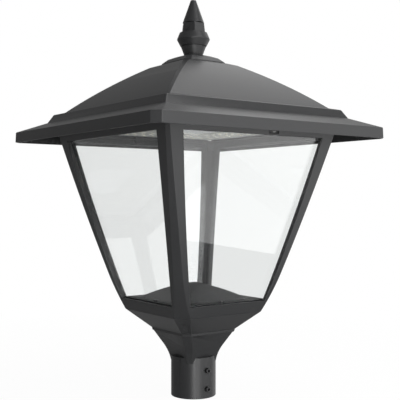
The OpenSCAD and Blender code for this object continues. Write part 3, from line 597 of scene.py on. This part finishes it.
STAINLESS_NODES = (
    "frame_bolts", "hinge_bracket_screws", "hinge_pins", "latch_spindle", "latch_hook", "latch_nut",
    "finial_stud", "finial_nut", "hinge_arm_screws", "latch_strike", "strike_screws",
    "gear_plate_screws", "board_screws", "driver_screws",
)
BLACK_NODES = (
    "set_screw_front_low", "set_screw_front_high", "set_screw_back_low", "set_screw_back_high",
    "clamp_screws", "floor_cover_screws", "lanyard_screw",
)


class LANTERN_OT_fasteners(bpy.types.Operator):
    """Gives the fasteners and the latch bare and blackened metal"""

    bl_idname = "lantern.fasteners"
    bl_label = "Fasteners"

    def execute(self, context):
        look = context.scene.lantern_fasteners
        paint(STAINLESS_NODES, bare_metal("stainless_fastener", look.stainless, roughness=0.3, along="Z"))
        paint(BLACK_NODES, bare_metal("blackened_steel", look.blackened, roughness=0.42, along="Y"))
        return {"FINISHED"}


def row_spots(half, bend, spacing):
    """Points and headings, evenly spaced, round a square row with rounded corners."""
    centre = half - bend
    straight = 2 * centre
    quarter = straight + math.pi * bend / 2
    per_side = round(quarter / spacing)
    for side in range(4):
        side_heading = side * math.pi / 2
        for index in range(per_side):
            run = (index + 0.5) / per_side * quarter
            if run < straight:
                spot, turn = Vector((half, run - straight / 2, 0)), 0.0
            else:
                turn = (run - straight) / bend
                spot = Vector((centre + bend * math.cos(turn), centre + bend * math.sin(turn), 0))
            yield Matrix.Rotation(side_heading, 4, "Z") @ spot, side_heading + turn


class LANTERN_OT_light_board(bpy.types.Operator):
    """Dresses the circuit board and its light sources"""

    bl_idname = "lantern.light_board"
    bl_label = "Light board"

    def execute(self, context):
        board = context.scene.lantern_board
        board_low, board_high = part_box("led_board")
        chips_low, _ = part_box("led_chips")
        outermost = board_high[0] - board.row_edge
        rows = [outermost - (board.rows - 1 - row) * board.row_pitch for row in range(board.rows)]
        paint(("led_board",), solder_mask("white_solder_mask", board.mask, rows, board.row_pitch))
        case = moulded("white_chip_case", board.package, roughness=0.4, grain=0.3)
        fill = phosphor("phosphor_fill", board.fill, board.glow)
        lens = clear_sheet("chip_lens_resin", board.resin, board.resin_haze)
        cases, fills, lenses = bmesh.new(), bmesh.new(), bmesh.new()
        thickness = board_low[2] - chips_low[2]
        for half in rows:
            for spot, heading in row_spots(half, board.bend, board.spacing):
                place = Matrix.Translation((spot.x, spot.y, board_low[2])) @ Matrix.Rotation(heading, 4, "Z")
                self.add_case(cases, place, board.side, thickness)
                self.add_fill(fills, place, board.side, thickness)
                self.add_lens(lenses, place, board.side, thickness)
        made = add_object("light_source_cases", cases, case)
        attach(made, "led_chips")
        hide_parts("led_chips")
        attach(add_object("light_source_fills", fills, fill), "led_chips")
        attach(add_object("light_source_lenses", lenses, lens, LENS_CREASE), "led_chips")
        return {"FINISHED"}

    def add_case(self, bm, place, side, thickness):
        """A square case under the board, with a rim marked off on its lit face."""
        depth = CASE_DEPTH * thickness
        matrix = place @ Matrix.Translation((0, 0, -depth / 2)) @ Matrix.Diagonal((side, side, depth, 1))
        made = bmesh.ops.create_cube(bm, size=1.0, matrix=matrix)
        faces = {face for vert in made["verts"] for face in vert.link_faces}
        lit = min(faces, key=lambda face: face.calc_center_median().z)
        bmesh.ops.inset_region(bm, faces=[lit], thickness=RIM_WIDTH * side, depth=0.0)

    def add_fill(self, bm, place, side, thickness):
        """A thin round pad of phosphor."""
        depth = FILL_DEPTH * thickness
        radius = FILL_RADIUS * side
        bmesh.ops.create_cone(
            bm, cap_ends=True, segments=ROUND_FACES, radius1=radius, radius2=radius, depth=depth,
            matrix=place @ Matrix.Translation((0, 0, -depth / 2 - FILL_TOP * thickness)),
        )

    def add_lens(self, bm, place, side, thickness):
        """A low dome over the phosphor: the lower half of a ball, pressed flat."""
        radius = LENS_RADIUS * side
        lens = bmesh.new()
        bmesh.ops.create_uvsphere(lens, u_segments=ROUND_FACES, v_segments=LENS_RINGS, radius=radius)
        cut = bmesh.ops.bisect_plane(
            lens, geom=lens.verts[:] + lens.edges[:] + lens.faces[:], plane_co=(0, 0, 0),
            plane_no=(0, 0, 1), clear_outer=True,
        )
        rim = [edge for edge in cut["geom_cut"] if isinstance(edge, bmesh.types.BMEdge)]
        bmesh.ops.holes_fill(lens, edges=rim)
        squash = Matrix.Diagonal((1, 1, LENS_DEPTH * thickness / radius, 1))
        lens.transform(place @ Matrix.Translation((0, 0, -LENS_TOP * thickness)) @ squash)
        mesh = bpy.data.meshes.new("one_lens")
        lens.to_mesh(mesh)
        lens.free()
        bm.from_mesh(mesh)
        bpy.data.meshes.remove(mesh)


def toward(azimuth, rise=0.0):
    """A direction from the axis, turned anticlockwise from the front as seen from above."""
    return Vector((math.sin(azimuth), -math.cos(azimuth), rise))


def ray_kinds(shader):
    """Masks of rays that see the set directly or through a pane, of mirrored rays and of shadow rays."""
    camera, glossy, through, shadow = shader.node(
        "ShaderNodeLightPath", out=("Is Camera Ray", "Is Glossy Ray", "Is Transmission Ray", "Is Shadow Ray")
    )
    scatterings, reflections = shader.node("ShaderNodeLightPath", out=("Diffuse Depth", "Glossy Depth"))
    unscattered = scatterings < 0.5
    direct = camera.larger(through * (reflections < 0.5)) * unscattered
    mirrored = glossy.larger(through * (reflections > 0.5)) * unscattered
    return direct, mirrored, shadow


class LANTERN_OT_stage(bpy.types.Operator):
    """Sets up the camera, the lamps, the floor and the background"""

    bl_idname = "lantern.stage"
    bl_label = "Stage"

    def execute(self, context):
        stage = context.scene.lantern_stage
        self.add_camera(context, stage)
        self.add_world(context, stage)
        self.add_floor(stage)
        for lamp in LAMPS:
            self.add_lamp(context, stage, lamp)
        context.scene.view_settings.view_transform = "Standard"
        return {"FINISHED"}

    def add_camera(self, context, stage):
        lens = bpy.data.cameras.new("photo_camera")
        lens.sensor_width = FILM_WIDTH_MM
        lens.lens = stage.lens
        lens.shift_x = stage.shift
        made = bpy.data.objects.new("photo_camera", lens)
        made.location = toward(stage.azimuth) * stage.distance + Vector((0, 0, stage.height))
        made.rotation_euler = (math.radians(90), 0.0, stage.azimuth)
        context.scene.collection.objects.link(made)
        context.scene.camera = made

    def add_world(self, context, stage):
        world = bpy.data.worlds.new("pale_studio")
        context.scene.world = world
        shader = Shader(world, "ShaderNodeOutputWorld")
        dim = shader.node("ShaderNodeBackground", None, {"Color": WHITE, "Strength": stage.ambient})
        white = shader.node("ShaderNodeBackground", None, {"Color": WHITE, "Strength": 1.0})
        direct, mirrored, _ = ray_kinds(shader)
        shader.finish(shader.mix(direct.larger(mirrored * stage.mirrored), dim, white))

    def add_floor(self, stage):
        """A pale floor that keeps the shadow at the foot and turns plain white further out.

        Mirrored and shadow rays pass it, because some of the lamps reach below it.
        """
        low, _ = CAD_BOX
        bm = bmesh.new()
        bmesh.ops.create_grid(bm, x_segments=1, y_segments=1, size=FLOOR_HALF_WIDTH)
        bmesh.ops.translate(bm, verts=bm.verts, vec=(0, 0, low[2] - FLOOR_DROP))
        shader = new_shader("pale_floor")
        matte = shader.node("ShaderNodeBsdfDiffuse", None, {"Color": shade(stage.floor_color)})
        white = shader.node("ShaderNodeEmission", None, {"Color": WHITE, "Strength": 1.0})
        clear = shader.node("ShaderNodeBsdfTransparent", None, {"Color": WHITE})
        direct, mirrored, shadow = ray_kinds(shader)
        x, y, _ = shader.axes()
        faded = ((x * x + y * y) / stage.floor_reach**2).smaller(1.0)
        glow = faded * (1.0 - stage.floor_glow) + stage.floor_glow
        lit = shader.mix(mirrored.larger(shadow), matte, clear)
        shader.finish(shader.mix(direct * glow, lit, white))
        add_object("floor", bm, shader.owner)

    def add_lamp(self, context, stage, lamp):
        light = bpy.data.lights.new(lamp.name, "AREA")
        light.shape = "RECTANGLE"
        light.size, light.size_y = lamp.size
        light.energy = getattr(stage, lamp.name)
        azimuth = stage.azimuth + math.radians(lamp.bearing)
        aim = toward(azimuth + math.pi / 2) * lamp.shift + Vector((0, 0, lamp.aim_height))
        direction = toward(azimuth, lamp.rise).normalized()
        made = bpy.data.objects.new(lamp.name, light)
        made.location = aim + direction * lamp.distance
        made.rotation_euler = direction.to_track_quat("Z", "Y").to_euler()
        made.visible_camera = False
        context.scene.collection.objects.link(made)


PIECE_OPERATORS = (
    LANTERN_OT_stage,
    LANTERN_OT_castings,
    LANTERN_OT_panes,
    LANTERN_OT_seals,
    LANTERN_OT_fasteners,
    LANTERN_OT_light_board,
)


class LANTERN_PT_dressing(bpy.types.Panel):
    """Lists the lantern's settings and the steps that dress it"""

    bl_label = "Lantern"
    bl_idname = "LANTERN_PT_dressing"
    bl_space_type = "VIEW_3D"
    bl_region_type = "UI"
    bl_category = "Lantern"

    def draw(self, context):
        layout = self.layout
        for operator in PIECE_OPERATORS:
            layout.operator(operator.bl_idname)
        for key, group in SETTINGS.items():
            box = layout.box()
            settings = getattr(context.scene, key)
            for field in group.__annotations__:
                box.prop(settings, field)


def register():
    for key, group in SETTINGS.items():
        bpy.utils.register_class(group)
        setattr(bpy.types.Scene, key, bpy.props.PointerProperty(type=group))
    for operator in PIECE_OPERATORS:
        bpy.utils.register_class(operator)
    bpy.utils.register_class(LANTERN_PT_dressing)


def unregister():
    bpy.utils.unregister_class(LANTERN_PT_dressing)
    for operator in reversed(PIECE_OPERATORS):
        bpy.utils.unregister_class(operator)
    for key, group in SETTINGS.items():
        delattr(bpy.types.Scene, key)
        bpy.utils.unregister_class(group)


def main():
    register()
    bpy.ops.lantern.stage()
    bpy.ops.lantern.castings()
    bpy.ops.lantern.panes()
    bpy.ops.lantern.seals()
    bpy.ops.lantern.fasteners()
    bpy.ops.lantern.light_board()


if __name__ == "__main__":
    main()
